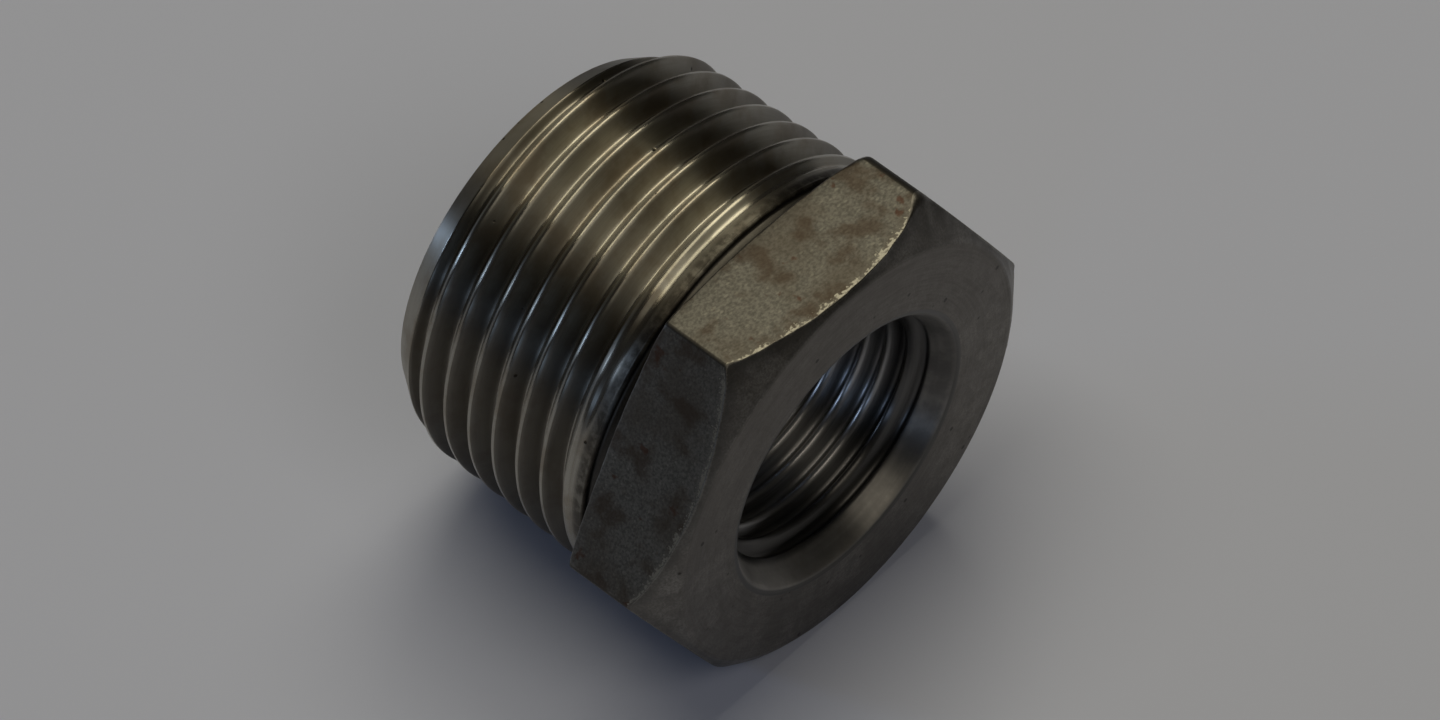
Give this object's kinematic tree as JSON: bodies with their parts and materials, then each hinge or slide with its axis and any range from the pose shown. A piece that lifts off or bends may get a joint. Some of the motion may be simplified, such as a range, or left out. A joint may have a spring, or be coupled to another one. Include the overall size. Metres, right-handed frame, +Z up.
{
  "type": "hex reducing bushing",
  "caption": "Threaded hex reducing bushing: a male taper thread outside, a smaller female thread inside and a wrench hexagon at one end.",
  "frame": {"origin": "on the surface that the bushing lies on, under the middle of its length and on its centreline", "axes": "+X runs along the bore from the male end towards the hexagon's front face, +Z points up out of the upper wrench flat"},
  "size_m": [0.0286, 0.0398, 0.0345],
  "materials": {
    "stainless_steel": "turned and polished threads, satin turned front face, matt blasted wrench flats"
  },
  "bodies": {
    "root": {"bushing_body": "stainless_steel"}
  },
  "joints": []
}
